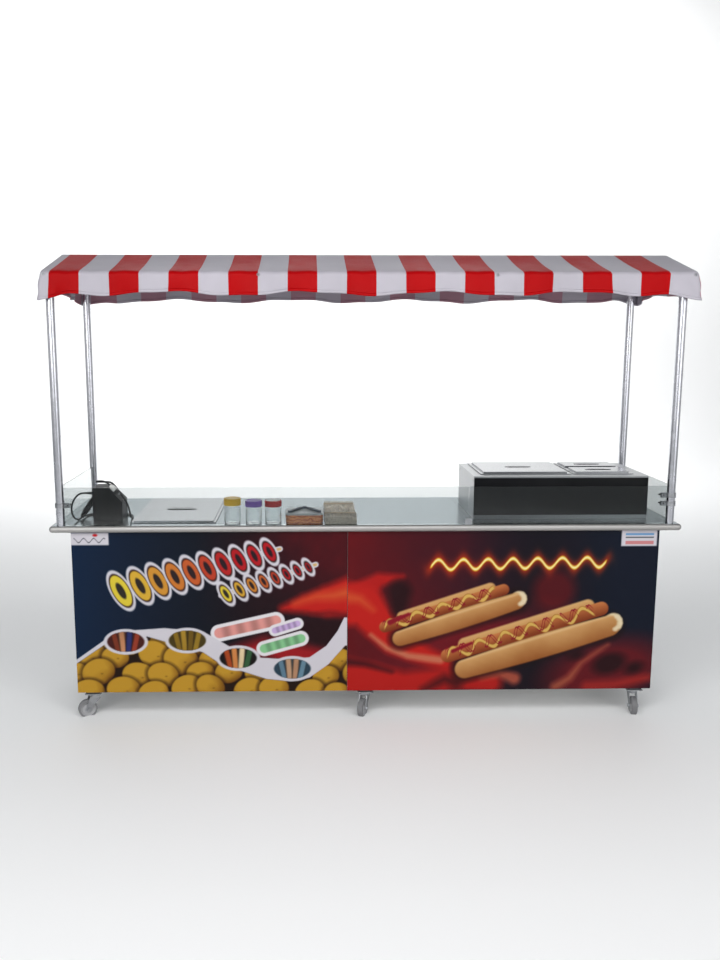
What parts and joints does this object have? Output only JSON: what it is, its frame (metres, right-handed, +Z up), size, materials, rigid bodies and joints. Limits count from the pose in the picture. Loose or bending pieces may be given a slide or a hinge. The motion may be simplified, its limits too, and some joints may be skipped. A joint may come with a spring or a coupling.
{
  "type": "vending cart",
  "caption": "Push vending cart with a striped gable canopy, printed front panels, glass guards, a bain-marie, a drop-in fryer, sauce jars and swivel casters",
  "frame": {"origin": "on the floor, under the middle of the worktop", "axes": "X along the counter toward the customer's right, Y away from the customer, Z up"},
  "size_m": [2.64, 0.69, 1.982],
  "materials": {
    "frame_steel": "satin",
    "galvanised": "satin",
    "stainless": "satin",
    "print_left": "gloss",
    "print_right": "gloss",
    "post_steel": "satin",
    "canopy_fabric": "matte",
    "guard_glass": "gloss",
    "black_plastic": "matte",
    "wheel_rubber": "matte",
    "zinc": "satin",
    "bain_black": "gloss",
    "cord_rubber": "matte",
    "plug_plastic": "satin",
    "jar_glass": "gloss",
    "tray_plastic": "satin",
    "pale_wood": "matte",
    "white_panel": "satin"
  },
  "bodies": {
    "cart": {"base_frame": "frame_steel", "uprights": "frame_steel", "top_frame": "frame_steel", "floor_panel": "white_panel", "shelf": "white_panel", "side_panel_left": "stainless", "side_panel_right": "stainless", "print_panel_left": "print_left", "print_panel_right": "print_right", "door_tracks": "galvanised", "worktop": "stainless", "posts": "post_steel", "post_spigots": "frame_steel", "canopy_frame": "post_steel", "canopy_cover": "canopy_fabric", "glass_front": "guard_glass", "glass_sides": "guard_glass", "glass_fittings": "zinc", "caster_plates": "zinc", "bain_housing": "stainless", "bain_front": "bain_black", "bain_well": "stainless", "bain_heater": "galvanised", "fryer_tank": "stainless", "fryer_head": "bain_black", "mains_cord": "cord_rubber", "cord_coil": "cord_rubber", "mains_plug": "plug_plastic", "strain_relief": "cord_rubber"},
    "door_left_body": {"door_left": "white_panel"},
    "door_right_body": {"door_right": "white_panel"},
    "fork_1_body": {"caster_fork_1": "zinc"},
    "wheel_1_body": {"caster_wheel_1": "wheel_rubber"},
    "fork_2_body": {"caster_fork_2": "zinc"},
    "wheel_2_body": {"caster_wheel_2": "wheel_rubber"},
    "fork_3_body": {"caster_fork_3": "zinc"},
    "wheel_3_body": {"caster_wheel_3": "wheel_rubber"},
    "fork_4_body": {"caster_fork_4": "zinc"},
    "wheel_4_body": {"caster_wheel_4": "wheel_rubber"},
    "fork_5_body": {"caster_fork_5": "zinc"},
    "wheel_5_body": {"caster_wheel_5": "wheel_rubber"},
    "fork_6_body": {"caster_fork_6": "zinc"},
    "wheel_6_body": {"caster_wheel_6": "wheel_rubber"},
    "wing_1_body": {"wing_knob_1": "black_plastic"},
    "wing_2_body": {"wing_knob_2": "black_plastic"},
    "wing_3_body": {"wing_knob_3": "black_plastic"},
    "pan_1_body": {"bain_pan_1": "stainless"},
    "lid_1_body": {"bain_lid_1": "stainless"},
    "pan_2_body": {"bain_pan_2": "stainless"},
    "lid_2_body": {"bain_lid_2": "stainless"},
    "pan_3_body": {"bain_pan_3": "stainless"},
    "lid_3_body": {"bain_lid_3": "stainless"},
    "bain_knob_body": {"bain_knob": "black_plastic"},
    "fryer_lid_body": {"fryer_lid": "stainless"},
    "fryer_knob_body": {"fryer_knob": "black_plastic"},
    "jar_1_body": {"jar_1": "jar_glass"},
    "jar_2_body": {"jar_2": "jar_glass"},
    "jar_3_body": {"jar_3": "jar_glass"},
    "tray_body": {"utensil_tray": "tray_plastic"},
    "pack_body": {"skewer_pack": "pale_wood"}
  },
  "joints": [
    {"name": "door_left_slide", "type": "slide", "parent": "cart", "child": "door_left_body", "axis": [1, 0, 0], "range_m": [0, 1.195]},
    {"name": "door_right_slide", "type": "slide", "parent": "cart", "child": "door_right_body", "axis": [-1, 0, 0], "range_m": [0, 1.195]},
    {"name": "swivel_1", "type": "hinge", "parent": "cart", "child": "fork_1_body", "pos_m": [-1.178, -0.25, 0.1], "axis": [0, 0, 1], "continuous": true},
    {"name": "roll_1", "type": "hinge", "parent": "fork_1_body", "child": "wheel_1_body", "pos_m": [-1.207, -0.26352, 0.04], "axis": [0.4226, -0.9063, 0], "continuous": true},
    {"name": "swivel_2", "type": "hinge", "parent": "cart", "child": "fork_2_body", "pos_m": [0, -0.25, 0.1], "axis": [0, 0, 1], "continuous": true},
    {"name": "roll_2", "type": "hinge", "parent": "fork_2_body", "child": "wheel_2_body", "pos_m": [-0.01199, -0.27967, 0.04], "axis": [0.9272, -0.3746, 0], "continuous": true},
    {"name": "swivel_3", "type": "hinge", "parent": "cart", "child": "fork_3_body", "pos_m": [1.178, -0.25, 0.1], "axis": [0, 0, 1], "continuous": true},
    {"name": "roll_3", "type": "hinge", "parent": "fork_3_body", "child": "wheel_3_body", "pos_m": [1.17355, -0.28169, 0.04], "axis": [0.9903, -0.1392, 0], "continuous": true},
    {"name": "swivel_4", "type": "hinge", "parent": "cart", "child": "fork_4_body", "pos_m": [-1.178, 0.25, 0.1], "axis": [0, 0, 1], "continuous": true},
    {"name": "roll_4", "type": "hinge", "parent": "fork_4_body", "child": "wheel_4_body", "pos_m": [-1.20514, 0.23304, 0.04], "axis": [0.5299, -0.848, 0], "continuous": true},
    {"name": "swivel_5", "type": "hinge", "parent": "cart", "child": "fork_5_body", "pos_m": [0, 0.25, 0.1], "axis": [0, 0, 1], "continuous": true},
    {"name": "roll_5", "type": "hinge", "parent": "fork_5_body", "child": "wheel_5_body", "pos_m": [-0.01502, 0.22175, 0.04], "axis": [0.8829, -0.4695, 0], "continuous": true},
    {"name": "swivel_6", "type": "hinge", "parent": "cart", "child": "fork_6_body", "pos_m": [1.178, 0.25, 0.1], "axis": [0, 0, 1], "continuous": true},
    {"name": "roll_6", "type": "hinge", "parent": "fork_6_body", "child": "wheel_6_body", "pos_m": [1.17135, 0.2187, 0.04], "axis": [0.9781, -0.2079, 0], "continuous": true},
    {"name": "wing_turn_1", "type": "hinge", "parent": "cart", "child": "wing_1_body", "pos_m": [-1.242, -0.3, 0.945], "axis": [0, 1, 0], "range_deg": [-180, 180]},
    {"name": "wing_turn_2", "type": "hinge", "parent": "cart", "child": "wing_2_body", "pos_m": [1.242, -0.3, 0.945], "axis": [0, 1, 0], "range_deg": [-180, 180]},
    {"name": "wing_turn_3", "type": "hinge", "parent": "cart", "child": "wing_3_body", "pos_m": [1.242, -0.3, 0.98], "axis": [0, 1, 0], "range_deg": [-180, 180]},
    {"name": "pan_lift_1", "type": "slide", "parent": "cart", "child": "pan_1_body", "axis": [0, 0, 1], "range_m": [0, 0.18]},
    {"name": "lid_lift_1", "type": "slide", "parent": "pan_1_body", "child": "lid_1_body", "axis": [0, 0, 1], "range_m": [0, 0.15]},
    {"name": "pan_lift_2", "type": "slide", "parent": "cart", "child": "pan_2_body", "axis": [0, 0, 1], "range_m": [0, 0.18]},
    {"name": "lid_lift_2", "type": "slide", "parent": "pan_2_body", "child": "lid_2_body", "axis": [0, 0, 1], "range_m": [0, 0.15]},
    {"name": "pan_lift_3", "type": "slide", "parent": "cart", "child": "pan_3_body", "axis": [0, 0, 1], "range_m": [0, 0.18]},
    {"name": "lid_lift_3", "type": "slide", "parent": "pan_3_body", "child": "lid_3_body", "axis": [0, 0, 1], "range_m": [0, 0.15]},
    {"name": "bain_thermostat", "type": "hinge", "parent": "cart", "child": "bain_knob_body", "pos_m": [1.113, 0.18, 0.905], "axis": [0, 1, 0], "range_deg": [0, 270]},
    {"name": "fryer_lid_lift", "type": "slide", "parent": "cart", "child": "fryer_lid_body", "axis": [0, 0, 1], "range_m": [0, 0.25]},
    {"name": "fryer_thermostat", "type": "hinge", "parent": "cart", "child": "fryer_knob_body", "pos_m": [-1.098, -0.105, 0.92], "axis": [0, 1, 0], "range_deg": [0, 270]},
    {"name": "jar_lift_1", "type": "slide", "parent": "cart", "child": "jar_1_body", "axis": [0, 0, 1], "range_m": [0, 0.1]},
    {"name": "jar_lift_2", "type": "slide", "parent": "cart", "child": "jar_2_body", "axis": [0, 0, 1], "range_m": [0, 0.1]},
    {"name": "jar_lift_3", "type": "slide", "parent": "cart", "child": "jar_3_body", "axis": [0, 0, 1], "range_m": [0, 0.1]},
    {"name": "tray_lift", "type": "slide", "parent": "cart", "child": "tray_body", "axis": [0, 0, 1], "range_m": [0, 0.1]},
    {"name": "pack_lift", "type": "slide", "parent": "cart", "child": "pack_body", "axis": [0, 0, 1], "range_m": [0, 0.1]}
  ]
}
